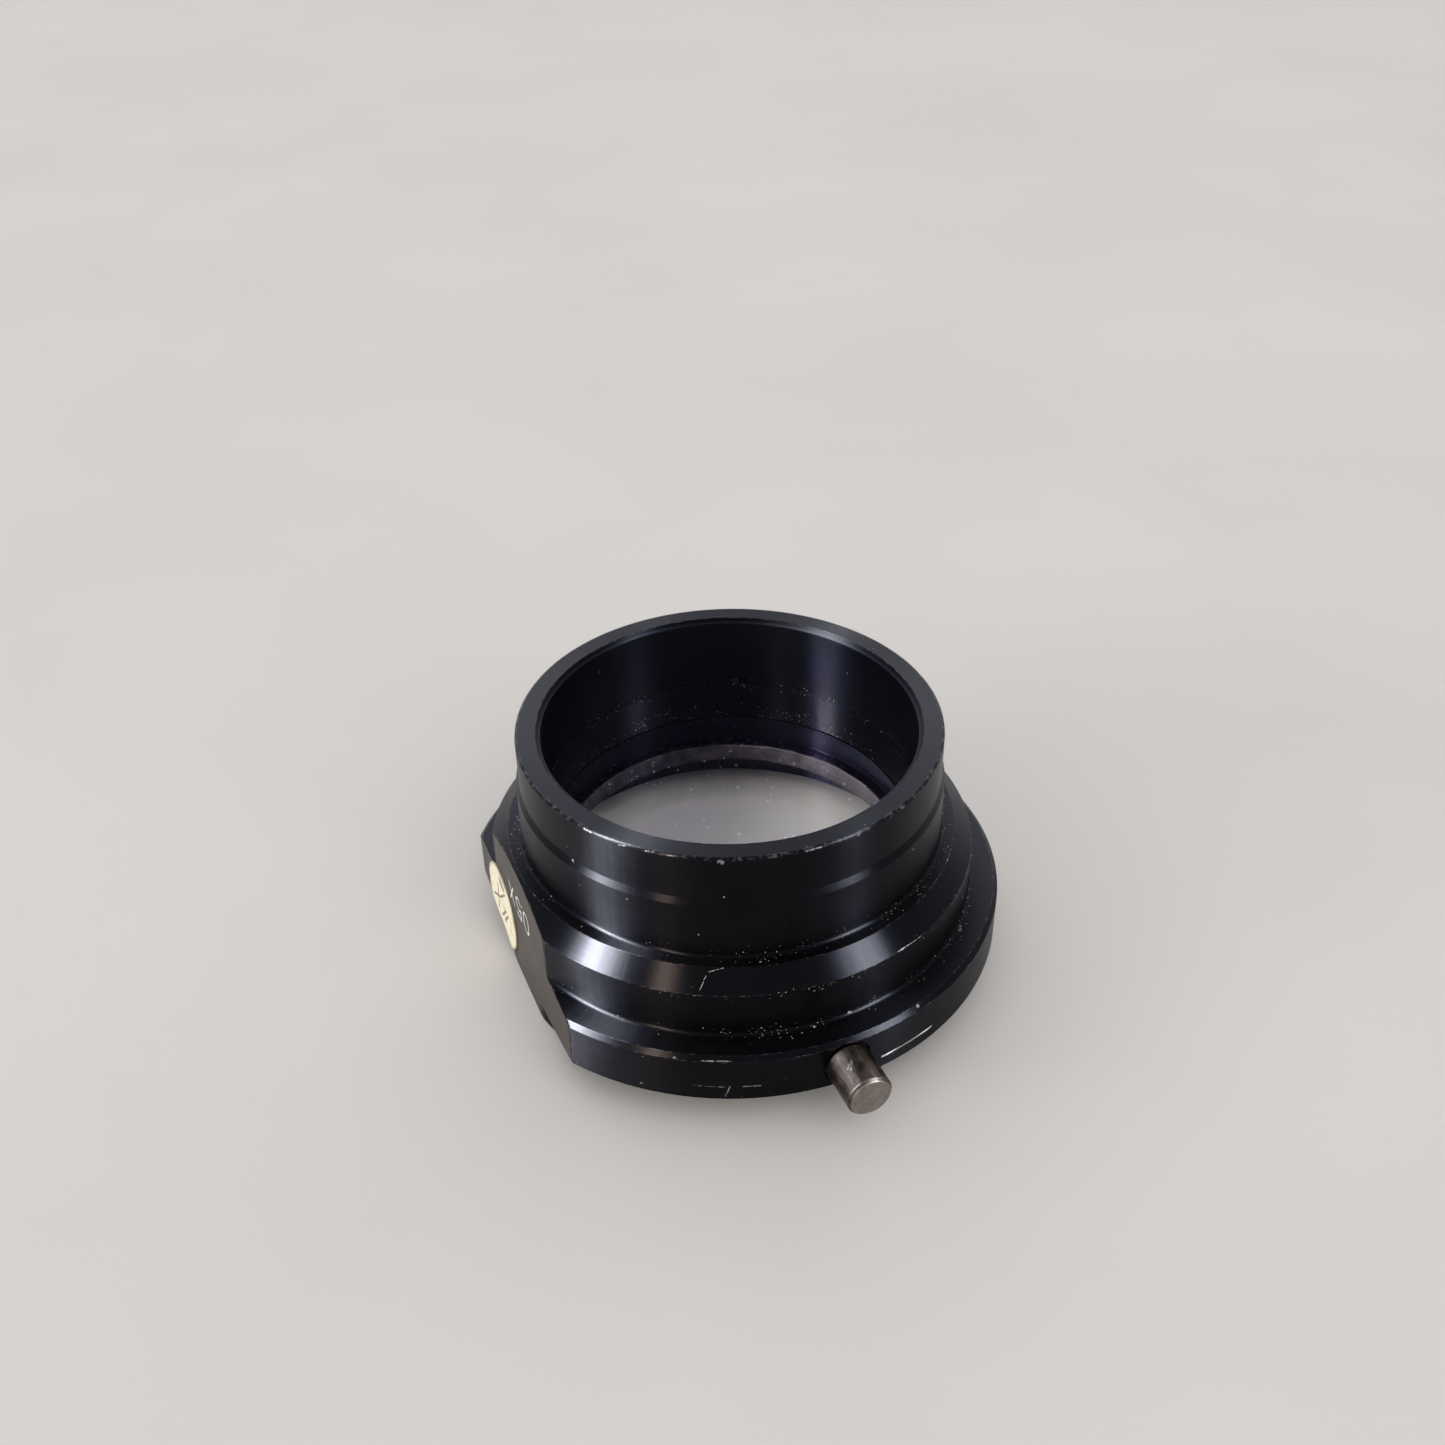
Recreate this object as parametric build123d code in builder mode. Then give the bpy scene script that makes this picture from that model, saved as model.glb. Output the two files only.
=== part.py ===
"""Half-power auxiliary lens: a cemented doublet in a stepped cell with a keying flat and an index pin.

Millimetres. Z is the optical axis and z = 0 is the foot of the spigot that the cell stands on.
The index pin points along -Y and the keying flat faces -X.
"""
import os
from math import cos, radians, sqrt

from build123d import *

# Cell, outside
cell_height = 30.3
spigot_radius = 26.0
spigot_edge = 0.3
underside_height = 2.3          # where the coned underside meets the spigot
flange_radius = 30.5
flange_foot = 4.3               # lower edge of the flange's rim
flange_top = 10.15
flange_bevel = 0.5
collar_radius = 27.15
collar_bevel = 2.05
shoulder_height = 17.65
neck_radius = 23.25
neck_root_radius = 23.6         # the neck's thicker lower band
neck_root_top = 24.2
neck_band_foot = 25.0
rim_edge = 0.12
root_fillet = 0.4               # in the two inner corners of the steps
flat_distance = 25.4            # keying flat, from the axis

# Cell, inside
rear_bore_radius = 20.5
rear_bore_foot = 21.2
rear_bore_bevel = 0.5
throat_top_radius = 20.3
throat_foot_radius = 19.9
seat_height = 16.6              # the lens is pushed up against this lip
lens_bore_radius = 21.05
thread_radius = 22.0            # retaining thread, drawn plain
thread_top = 6.5
front_bore_radius = 23.3
front_bore_top = 4.0

# Doublet
lens_radius = 21.0
lens_foot = 6.3
lens_edge = 0.2
rear_clear_radius = 19.8
rear_curve = 400.0              # bulges up
cement_curve = 90.0             # bulges up
cement_edge_height = 11.5
front_clear_radius = 19.5
front_curve = 400.0             # hollow below

# Retaining ring
ring_inner_radius = 19.2
ring_foot = 4.2
ring_edge = 0.3
spanner_slot_width = 1.6
spanner_slot_depth = 0.9

# Index pin, a dowel pressed into a blind hole, with a relief groove at its root
pin_radius = 2.5
pin_length = 10.0
pin_reach = 35.75               # end of the pin, from the axis
pin_height = 7.1
pin_edge = 0.35
pin_relief_radius = 2.25
pin_relief_foot = 4.3           # from the pin's inner end
pin_relief_width = 0.6
pin_mouth_radius = 2.75
pin_mouth_depth = 0.3

# Groove scored in the flange's rim beside the pin, a straight cut that runs out at both ends
groove_azimuth = -75.7
groove_half_angle = 6.7
groove_height = 5.8
groove_width = 0.25

# Magnification mark, engraved upside down on the flat and filled with paint
mark_y = 0.25
mark_z = 11.9
mark_depth = 0.2
stroke = 0.3
figure_height = 3.0
figure_width = 2.1
figure_pitch = 2.75

# Paper label on the flat; x runs along the flat away from +Y, and the lower left is torn off
label_centre = (-8.2, 5.8)
label_radius = 5.3
label_thickness = 0.12
label_tear = [(-16.0, 4.3), (-13.1, 3.4), (-7.3, 1.9), (-5.6, 0.7), (-5.6, -1.0), (-16.0, -1.0)]

os.makedirs("parts", exist_ok=True)


def sag(curve, radius):
    """Depth of a spherical surface of the given curve radius, out at the given radius."""
    return curve - sqrt(curve**2 - radius**2)


def cement_face():
    """Draw the half section of the cemented face, from the axis out to the rim, in the current line builder."""
    return TangentArc(
        (0, cement_edge_height + sag(cement_curve, lens_radius)),
        (lens_radius, cement_edge_height),
        tangent=(1, 0),
    )


def write(builder, name):
    """Label a finished piece and write it as parts/NAME.step."""
    builder.part.label = name
    export_step(builder.part, f"parts/{name}.step")


inverted_flat = Plane(origin=(-flat_distance, mark_y, mark_z), x_dir=(0, 1, 0), z_dir=(-1, 0, 0))
upright_flat = Plane(origin=(-flat_distance, 0, 0), x_dir=(0, -1, 0), z_dir=(-1, 0, 0))
pin_mouth = Plane(origin=(0, -flange_radius, pin_height), x_dir=(1, 0, 0), z_dir=(0, -1, 0))
pin_seat = pin_mouth.offset(pin_reach - pin_length - flange_radius)

with BuildSketch(inverted_flat) as mark:
    five_half_width = figure_width / 2 - stroke / 2
    five_top = figure_height / 2 - stroke / 2
    with Locations((-figure_pitch, 0)):
        SlotOverall(figure_height, figure_width, rotation=90)
        SlotOverall(figure_height - 2 * stroke, figure_width - 2 * stroke, rotation=90, mode=Mode.SUBTRACT)
    with Locations((-figure_pitch / 2, -five_top)):
        Circle(0.65 * stroke)
    with BuildLine():
        Polyline((five_half_width, five_top), (-0.7, five_top), (-0.8, 0.2))
        ThreePointArc((-0.8, 0.2), (five_half_width, -0.45), (-five_half_width, -0.85 * five_top))
    trace(line_width=stroke)
    with Locations((figure_pitch, 0)):
        SlotOverall(1.15 * figure_height, stroke, rotation=58)
        SlotOverall(1.15 * figure_height, stroke, rotation=-58)

with BuildPart() as housing:
    with BuildSketch(Plane.XZ) as section:
        with BuildLine():
            Polyline(
                (front_bore_radius, 0),
                (spigot_radius - spigot_edge, 0),
                (spigot_radius, spigot_edge),
                (spigot_radius, underside_height),
                (flange_radius, flange_foot),
                (flange_radius, flange_top - flange_bevel),
                (flange_radius - flange_bevel, flange_top),
                (collar_radius, flange_top),
                (collar_radius, shoulder_height - collar_bevel),
                (collar_radius - collar_bevel, shoulder_height),
                (neck_root_radius, shoulder_height),
                (neck_root_radius, neck_root_top),
                (neck_radius, neck_band_foot),
                (neck_radius, cell_height - rim_edge),
                (neck_radius - rim_edge, cell_height),
                (rear_bore_radius + rear_bore_bevel, cell_height),
                (rear_bore_radius, cell_height - rear_bore_bevel),
                (rear_bore_radius, rear_bore_foot),
                (throat_top_radius, rear_bore_foot),
                (throat_foot_radius, seat_height),
                (lens_bore_radius, seat_height),
                (lens_bore_radius, thread_top),
                (thread_radius, thread_top),
                (thread_radius, front_bore_top),
                (front_bore_radius, front_bore_top),
                close=True,
            )
        make_face()
        step_roots = [(collar_radius, flange_top), (neck_root_radius, shoulder_height)]
        fillet([section.vertices().sort_by_distance(root)[0] for root in step_roots], root_fillet)
    revolve(axis=Axis.Z)
    split(bisect_by=Plane.YZ.offset(-flat_distance), keep=Keep.TOP)
    with BuildSketch(pin_seat):
        Circle(pin_radius)
    extrude(amount=pin_length, mode=Mode.SUBTRACT)
    with Locations(pin_mouth):
        Cone(
            pin_radius,
            pin_mouth_radius,
            pin_mouth_depth,
            align=(Align.CENTER, Align.CENTER, Align.MAX),
            mode=Mode.SUBTRACT,
        )
    with BuildSketch(Plane.XY.offset(groove_height - groove_width / 2)):
        with PolarLocations(flange_radius * cos(radians(groove_half_angle)), 1, groove_azimuth):
            Rectangle(2, flange_radius / 2, align=(Align.MIN, Align.CENTER))
    extrude(amount=groove_width, mode=Mode.SUBTRACT)
    extrude(mark.sketch, amount=-mark_depth, mode=Mode.SUBTRACT)
write(housing, "housing")

with BuildPart() as crown_lens:
    with BuildSketch(Plane.XZ):
        with BuildLine():
            rear = TangentArc(
                (0, seat_height + sag(rear_curve, rear_clear_radius)),
                (rear_clear_radius, seat_height),
                tangent=(1, 0),
            )
            cement = cement_face()
            Polyline(
                rear @ 1,
                (lens_radius - lens_edge, seat_height),
                (lens_radius, seat_height - lens_edge),
                cement @ 1,
            )
            Line(rear @ 0, cement @ 0)
        make_face()
    revolve(axis=Axis.Z)
write(crown_lens, "crown_lens")

with BuildPart() as flint_lens:
    with BuildSketch(Plane.XZ):
        with BuildLine():
            cement = cement_face()
            front = TangentArc(
                (0, lens_foot + sag(front_curve, front_clear_radius)),
                (front_clear_radius, lens_foot),
                tangent=(1, 0),
            )
            Polyline(
                cement @ 1,
                (lens_radius, lens_foot + lens_edge),
                (lens_radius - lens_edge, lens_foot),
                front @ 1,
            )
            Line(cement @ 0, front @ 0)
        make_face()
    revolve(axis=Axis.Z)
write(flint_lens, "flint_lens")

with BuildPart() as retaining_ring:
    with BuildSketch(Plane.XZ):
        with BuildLine():
            Polyline(
                (ring_inner_radius, ring_foot + ring_edge),
                (ring_inner_radius + ring_edge, ring_foot),
                (thread_radius - ring_edge, ring_foot),
                (thread_radius, ring_foot + ring_edge),
                (thread_radius, lens_foot),
                (ring_inner_radius, lens_foot),
                close=True,
            )
        make_face()
    revolve(axis=Axis.Z)
    with BuildSketch(Plane.XY.offset(ring_foot)):
        Rectangle(2 * thread_radius, spanner_slot_width)
    extrude(amount=spanner_slot_depth, mode=Mode.SUBTRACT)
write(retaining_ring, "retaining_ring")

with BuildPart() as index_pin:
    with BuildSketch(pin_seat):
        Circle(pin_radius)
    extrude(amount=pin_length)
    chamfer(index_pin.edges().filter_by(GeomType.CIRCLE), pin_edge)
    with BuildSketch(pin_seat.offset(pin_relief_foot)):
        Circle(pin_radius)
        Circle(pin_relief_radius, mode=Mode.SUBTRACT)
    extrude(amount=pin_relief_width, mode=Mode.SUBTRACT)
write(index_pin, "index_pin")

with BuildPart() as mark_paint:
    with BuildSketch(inverted_flat.offset(-mark_depth)):
        add(mark.sketch_local)
    extrude(amount=mark_depth)
write(mark_paint, "mark_paint")

with BuildPart() as paper_label:
    with BuildSketch(upright_flat):
        with Locations(label_centre):
            Circle(label_radius)
        with BuildLine():
            Polyline(*label_tear, close=True)
        make_face(mode=Mode.SUBTRACT)
    extrude(amount=label_thickness)
write(paper_label, "paper_label")
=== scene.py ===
from collections import Counter
from math import acos, cos, pi, radians, sin, sqrt, tan
from random import Random

import bmesh
import bpy
from mathutils import Matrix, Vector
from mathutils.geometry import delaunay_2d_cdt


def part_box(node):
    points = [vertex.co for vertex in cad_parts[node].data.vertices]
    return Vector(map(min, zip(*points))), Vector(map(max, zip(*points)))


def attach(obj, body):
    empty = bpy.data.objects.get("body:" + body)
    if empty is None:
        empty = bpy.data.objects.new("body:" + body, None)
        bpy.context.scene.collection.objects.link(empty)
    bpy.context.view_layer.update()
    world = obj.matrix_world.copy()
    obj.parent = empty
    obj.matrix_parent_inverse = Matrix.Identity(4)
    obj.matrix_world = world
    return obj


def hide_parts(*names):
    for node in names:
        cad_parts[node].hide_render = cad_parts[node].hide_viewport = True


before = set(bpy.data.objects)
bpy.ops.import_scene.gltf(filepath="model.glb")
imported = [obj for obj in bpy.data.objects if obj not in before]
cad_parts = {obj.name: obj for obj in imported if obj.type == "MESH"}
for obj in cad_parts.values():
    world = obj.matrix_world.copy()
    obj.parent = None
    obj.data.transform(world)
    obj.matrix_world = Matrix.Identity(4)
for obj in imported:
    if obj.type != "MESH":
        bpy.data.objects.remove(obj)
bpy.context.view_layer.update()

MM = 0.001

# ---------------------------------------------------------------- dimensions, in mm, from the frame
cell_low, cell_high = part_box("housing")
pin_low, pin_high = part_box("index_pin")
ring_low, ring_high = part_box("retaining_ring")
crown_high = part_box("crown_lens")[1]
flint_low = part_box("flint_lens")[0]

CELL_HEIGHT = cell_high.z / MM
FLANGE_RADIUS = cell_high.x / MM
FLAT = -cell_low.x / MM
PIN_RADIUS = (pin_high.x - pin_low.x) / 2 / MM
PIN_HEIGHT = (pin_high.z + pin_low.z) / 2 / MM
PIN_REACH = -pin_low.y / MM
PIN_SEAT = -pin_high.y / MM
THREAD_RADIUS = ring_high.x / MM
RING_FOOT = ring_low.z / MM
RING_TOP = ring_high.z / MM
LENS_RADIUS = crown_high.x / MM
LENS_FOOT = flint_low.z / MM

# Sizes that no box in the frame gives, as in the CAD part
SEAT_HEIGHT = 16.6
SPIGOT_RADIUS = 26.0
UNDERSIDE_HEIGHT = 2.3
FLANGE_FOOT = 4.3
FLANGE_TOP = 10.15
FLANGE_BEVEL = 0.5
COLLAR_RADIUS = 27.15
COLLAR_BEVEL = 2.05
SHOULDER_HEIGHT = 17.65
NECK_RADIUS = 23.25
NECK_ROOT_RADIUS = 23.6
NECK_ROOT_TOP = 24.2
NECK_BAND_FOOT = 25.0
REAR_BORE_RADIUS = 20.5
REAR_BORE_FOOT = 21.2
REAR_BORE_BEVEL = 0.5
THROAT_TOP_RADIUS = 20.3
THROAT_FOOT_RADIUS = 19.9
LENS_BORE_RADIUS = 21.05
THREAD_TOP = 6.5
FRONT_BORE_RADIUS = 23.3
FRONT_BORE_TOP = 4.0
RING_INNER_RADIUS = 19.2
SPANNER_SLOT_WIDTH = 1.6
SPANNER_SLOT_DEPTH = 0.9
LENS_EDGE = 0.2
REAR_CLEAR_RADIUS = 19.8
REAR_CURVE = 400.0
FRONT_CLEAR_RADIUS = 19.5
FRONT_CURVE = 400.0
PIN_EDGE = 0.35
PIN_MOUTH_RADIUS = 2.75
PIN_MOUTH_DEPTH = 0.3
PIN_RELIEF_RADIUS = 2.25
PIN_RELIEF_FOOT = 4.3
PIN_RELIEF_WIDTH = 0.6

# Detail that only the looks have
COLUMNS = 720                   # around the axis
HOLD = 0.05                     # loops that keep flat faces flat beside a rounded edge
LONGEST = 0.9                   # between two rings of the cell
EDGE_BREAK = 0.10               # along the outline of the keying flat
SHARP = 35                      # degrees: edges that turn more than this aren't smoothed


# ---------------------------------------------------------------- meshes
def rounded_section(corners, closed=True):
    """Points (r, z) and outward normals along a section whose corners (r, z, radius) are rounded.

    Each point is (r, z, normal r, normal z, kind), where kind is 1 on a convex arc, -1 on a hollow one and 0
    on a straight run. The section runs with the solid on its left.
    """
    count = len(corners)
    arcs = []
    for i, (r, z, radius) in enumerate(corners):
        here = Vector((r, z))
        if not closed and i in (0, count - 1):
            arcs.append(([here], 0))
            continue
        before = Vector(corners[i - 1][:2]) - here
        after = Vector(corners[(i + 1) % count][:2]) - here
        before.normalize()
        after.normalize()
        turn = (-before).x * after.y - (-before).y * after.x
        if radius == 0 or abs(turn) < 1e-6:
            arcs.append(([here], 0))
            continue
        opening = before.angle(after)
        reach = radius / tan(opening / 2)
        centre = here + (before + after).normalized() * radius / sin(opening / 2)
        start = here + before * reach - centre
        steps = 5 if radius > 0.3 else 4
        sweep = (pi - opening) * (1 if turn > 0 else -1)
        points = [centre + rotated(start, sweep * k / steps) for k in range(steps + 1)]
        arcs.append((points, 1 if turn > 0 else -1))
    section = []
    runs = count if closed else count - 1
    for i in range(count):
        points, kind = arcs[i]
        section += [(p, kind) for p in points]
        if i < runs:
            section += [(p, 0) for p in between(points[-1], arcs[(i + 1) % count][0][0])]
    result = []
    for i, (p, kind) in enumerate(section):
        ahead = section[(i + 1) % len(section)][0] if closed or i < len(section) - 1 else p
        behind = section[i - 1][0] if closed or i > 0 else p
        along = (ahead - behind).normalized()
        result.append((p.x, p.y, along.y, -along.x, kind))
    return result


def rotated(v, angle):
    """A 2-D vector turned by an angle."""
    return Vector((v.x * cos(angle) - v.y * sin(angle), v.x * sin(angle) + v.y * cos(angle)))


def between(a, b):
    """Points between a and b: one close to each end, an even spread, and more where it meets the flat."""
    length = (b - a).length
    shares = set()
    if length > 3 * HOLD:
        shares |= {HOLD / length, 1 - HOLD / length}
        steps = int(length / LONGEST) + 1
        shares |= {k / steps for k in range(1, steps)}
    low, high = sorted((a.x, b.x))
    if low < FLAT < high:
        meets = (FLAT - a.x) / (b.x - a.x)
        outer = 1.0 if b.x > a.x else 0.0
        shares |= {meets + (outer - meets) * (k / 14) ** 2 for k in range(14)}
    kept = []
    for share in sorted(shares):
        if 1e-4 < share < 1 - 1e-4 and (not kept or (share - kept[-1]) * length > 0.004):
            kept.append(share)
    return [a + (b - a) * share for share in kept]


def finish_mesh(name, bm, materials, sharp=SHARP):
    """Make an object of a bmesh given in mm, smooth but for edges sharper than the given angle."""
    bmesh.ops.scale(bm, vec=(MM, MM, MM), verts=bm.verts)
    mesh = bpy.data.meshes.new(name)
    bm.to_mesh(mesh)
    bm.free()
    for material in materials:
        mesh.materials.append(material)
    mesh.shade_smooth()
    mesh.set_sharp_from_angle(angle=radians(sharp))
    piece = bpy.data.objects.new(name, mesh)
    bpy.context.scene.collection.objects.link(piece)
    return piece


def turned(section, columns, closed=True, slot_of=None):
    """A bmesh of a section (r, z, ...) turned about the Z axis, with poles where it touches the axis."""
    bm = bmesh.new()
    rings = []
    for point in section:
        if point[0] < 1e-6:
            rings.append([bm.verts.new((0, 0, point[1]))] * columns)
            continue
        ring = []
        for j in range(columns):
            a = 2 * pi * j / columns
            ring.append(bm.verts.new((point[0] * cos(a), point[0] * sin(a), point[1])))
        rings.append(ring)
    for i in range(len(rings) if closed else len(rings) - 1):
        low, high = rings[i], rings[(i + 1) % len(rings)]
        for j in range(columns):
            k = (j + 1) % columns
            corners = [low[j], low[k], high[k], high[j]]
            corners = [v for n, v in enumerate(corners) if v not in corners[:n]]
            if len(corners) > 2:
                face = bm.faces.new(corners)
                face.material_index = slot_of(i) if slot_of else 0
    return bm


def cell_section():
    """The half section of the cell: from the foot of the front bore, out, up the outside and down inside."""
    return rounded_section([
        (FRONT_BORE_RADIUS, 0, 0.15),
        (SPIGOT_RADIUS, 0, 0.3),
        (SPIGOT_RADIUS, UNDERSIDE_HEIGHT, 0.1),
        (FLANGE_RADIUS, FLANGE_FOOT, 0.15),
        (FLANGE_RADIUS, FLANGE_TOP - FLANGE_BEVEL, 0.12),
        (FLANGE_RADIUS - FLANGE_BEVEL, FLANGE_TOP, 0.12),
        (COLLAR_RADIUS, FLANGE_TOP, 0.4),
        (COLLAR_RADIUS, SHOULDER_HEIGHT - COLLAR_BEVEL, 0.12),
        (COLLAR_RADIUS - COLLAR_BEVEL, SHOULDER_HEIGHT, 0.12),
        (NECK_ROOT_RADIUS, SHOULDER_HEIGHT, 0.4),
        (NECK_ROOT_RADIUS, NECK_ROOT_TOP, 0.2),
        (NECK_RADIUS, NECK_BAND_FOOT, 0.2),
        (NECK_RADIUS, CELL_HEIGHT, 0.3),
        (REAR_BORE_RADIUS + REAR_BORE_BEVEL, CELL_HEIGHT, 0.1),
        (REAR_BORE_RADIUS, CELL_HEIGHT - REAR_BORE_BEVEL, 0.1),
        (REAR_BORE_RADIUS, REAR_BORE_FOOT, 0),
        (THROAT_TOP_RADIUS, REAR_BORE_FOOT, 0),
        (THROAT_FOOT_RADIUS, SEAT_HEIGHT, 0.05),
        (LENS_BORE_RADIUS, SEAT_HEIGHT, 0),
        (LENS_BORE_RADIUS, THREAD_TOP, 0.1),
        (THREAD_RADIUS, THREAD_TOP, 0),
        (THREAD_RADIUS, FRONT_BORE_TOP, 0.1),
        (FRONT_BORE_RADIUS, FRONT_BORE_TOP, 0.1),
    ])


def build_cell():
    """The cell as one closed mesh: rings that stop at the keying flat, whose edge has a small round."""
    bm = bmesh.new()
    edge_layer = bm.verts.layers.float.new("edge")
    hollow_layer = bm.verts.layers.float.new("hollow")
    section = cell_section()
    steps = 3
    rings = []
    for r, z, nr, nz, kind in section:
        inset = EDGE_BREAK + HOLD
        fade = min(1.0, max(0.0, (r - FLAT) / (max(nr, 0) * inset + 0.3 * inset)))
        broken = EDGE_BREAK * fade
        stop = FLAT - broken
        gap = acos(stop / r) if r > stop else 0.0
        ring = []
        for j in range(COLUMNS + 1):
            a = (2 * j / COLUMNS - 1) * (pi - gap)
            ring.append((r * cos(a), r * sin(a), z))
        ends = []
        for k in range(1, steps + 2):
            turn = min(k, steps) / steps * pi / 2
            x = FLAT - broken + broken * sin(turn)
            depth = broken * (1 - cos(turn)) + (HOLD * fade if k > steps else 0)
            rk = r - depth * nr
            if fade == 0 or rk <= x:
                ends.append((-min(r, rk if fade else r, x if fade else r), 0.0, z - depth * nz * (fade > 0)))
            else:
                ends.append((-x, sqrt(rk * rk - x * x), z - depth * nz))
        ring = [(x, -y, zz) for x, y, zz in reversed(ends)] + ring + ends
        verts = [bm.verts.new(p) for p in ring]
        for i, v in enumerate(verts):
            on_outline = fade > 0 and (0 < i <= steps + 1 or len(verts) - steps - 2 <= i < len(verts) - 1)
            v[edge_layer] = 1.0 if kind == 1 or on_outline else 0.0
            v[hollow_layer] = 1.0 if kind == -1 else 0.0
        rings.append(verts)
    count = len(rings)
    for i in range(count):
        low, high = rings[i], rings[(i + 1) % count]
        for j in range(len(low) - 1):
            bm.faces.new((low[j], low[j + 1], high[j + 1], high[j]))
    right = [ring[-1] for ring in rings if ring[-1].co.y > 1e-5]
    left = [ring[0] for ring in rings if ring[0].co.y < -1e-5]
    outline = right + left[::-1]
    fill_flat(bm, outline)
    bmesh.ops.remove_doubles(bm, verts=bm.verts, dist=1e-4)
    bmesh.ops.dissolve_degenerate(bm, dist=1e-5, edges=bm.edges)
    bmesh.ops.holes_fill(bm, edges=[edge for edge in bm.edges if edge.is_boundary])
    bmesh.ops.recalc_face_normals(bm, faces=bm.faces)
    return bm


# The magnification mark, in mm on the flat, from its own centre. It reads upside down.
STROKE = 0.3
FIGURE_HEIGHT = 3.0
FIGURE_WIDTH = 2.1
FIGURE_PITCH = 2.75
MARK_Y = 0.25
MARK_Z = 11.9
MARK_DEPTH = 0.2


def oval(cx, cy, width, height, count=28):
    """Points round a slot-shaped figure, closed."""
    straight = (height - width) / 2
    points = []
    for i in range(count):
        a = 2 * pi * i / count
        shift = straight if sin(a) >= 0 else -straight
        points.append((cx + width / 2 * cos(a), cy + width / 2 * sin(a) + shift))
    return points + points[:1]


def mark_strokes():
    """The centre lines of the mark's strokes, in the mark's own upright frame."""
    half = FIGURE_WIDTH / 2 - STROKE / 2
    top = FIGURE_HEIGHT / 2 - STROKE / 2
    bowl = []
    for i in range(13):
        a = radians(150 - 300 * i / 12)
        bowl.append((0.02 + (half - 0.02) * cos(a), -0.5 + 0.83 * sin(a)))
    lean = radians(58)
    arm = (1.05 * FIGURE_HEIGHT - STROKE) / 2
    cross = [(arm * cos(lean), arm * sin(lean)), (-arm * cos(lean), -arm * sin(lean))]
    return [
        oval(-FIGURE_PITCH, 0, FIGURE_WIDTH - STROKE, FIGURE_HEIGHT - STROKE),
        [(-FIGURE_PITCH / 2 - 0.03, -top), (-FIGURE_PITCH / 2 + 0.03, -top)],
        [(half, top), (-0.7, top), bowl[0]],
        bowl,
        [(FIGURE_PITCH + x, y) for x, y in cross],
        [(FIGURE_PITCH - x, y) for x, y in cross],
    ]


def on_flat(u, v, depth=0.0):
    """A point of the mark's upright frame, on the flat of the cell."""
    return (-FLAT + depth, MARK_Y + u, MARK_Z - v)


def stroke_outlines(strokes, width):
    """One closed outline round each straight piece of each stroke."""
    outlines = []
    for stroke in strokes:
        for a, b in zip(stroke, stroke[1:]):
            along = Vector(b) - Vector(a)
            lean = along.angle_signed(Vector((1, 0))) if along.length > 0 else 0.0
            outline = []
            for i in range(16):
                t = 2 * pi * i / 16 + pi / 16
                local = Vector((width / 2 * cos(t), width / 2 * sin(t)))
                centre = Vector(b) if local.x > 0 else Vector(a)
                outline.append(centre + rotated(local, lean))
            outlines.append(outline)
    return outlines


def anticlockwise(points):
    """True if a closed outline of 2-D points runs anticlockwise."""
    return sum(a.cross(b) for a, b in zip(points, points[1:] + points[:1])) > 0


def outer_edges(faces):
    """The directed edges that only one face has."""
    edges = [edge for face in faces for edge in zip(face, face[1:] + face[:1])]
    count = Counter(frozenset(edge) for edge in edges)
    return [edge for edge in edges if count[frozenset(edge)] == 1]


def slab(top_places, floor_places, faces):
    """A closed sheet between two sets of places that share their faces."""
    bm = bmesh.new()
    top = [bm.verts.new(p) for p in top_places]
    floor = [bm.verts.new(p) for p in floor_places]
    for face in faces:
        bm.faces.new([top[i] for i in face])
        bm.faces.new([floor[i] for i in reversed(face)])
    for a, b in outer_edges(faces):
        bm.faces.new((top[b], top[a], floor[a], floor[b]))
    loose = [v for v in bm.verts if not v.link_faces]
    bmesh.ops.delete(bm, geom=loose, context="VERTS")
    bmesh.ops.recalc_face_normals(bm, faces=bm.faces)
    return bm


def fill_flat(bm, outline):
    """Fill the keying flat inside its outline, with the mark sunk into it."""
    rim = [Vector((v.co.y, v.co.z)) for v in outline]
    if not anticlockwise(rim):
        outline = outline[::-1]
        rim.reverse()
    points, loops = list(rim), [list(range(len(rim)))]
    for figure in stroke_outlines(mark_strokes(), STROKE):
        sunk_outline = [Vector(on_flat(*p)[1:]) for p in figure]
        if not anticlockwise(sunk_outline):
            sunk_outline.reverse()
        loops.append(list(range(len(points), len(points) + len(sunk_outline))))
        points += sunk_outline
    made = delaunay_2d_cdt(points, [], loops, 1, 1e-4)
    top = []
    for p, sources in zip(made[0], made[3]):
        on_rim = [i for i in sources if i < len(rim)]
        top.append(outline[on_rim[0]] if on_rim else bm.verts.new((-FLAT, p.x, p.y)))
    floor = {}
    sunk_faces = []
    for face, sources in zip(made[2], made[5]):
        sunk = any(i > 0 for i in sources)
        if not sunk:
            bm.faces.new([top[i] for i in face]).material_index = 1
            continue
        sunk_faces.append(face)
    for face in sunk_faces:
        for i in face:
            if i not in floor:
                floor[i] = bm.verts.new(top[i].co + Vector((MARK_DEPTH, 0, 0)))
        bm.faces.new([floor[i] for i in face]).material_index = 1
    for a, b in outer_edges(sunk_faces):
        bm.faces.new((top[a], top[b], floor[b], floor[a])).material_index = 1


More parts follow.
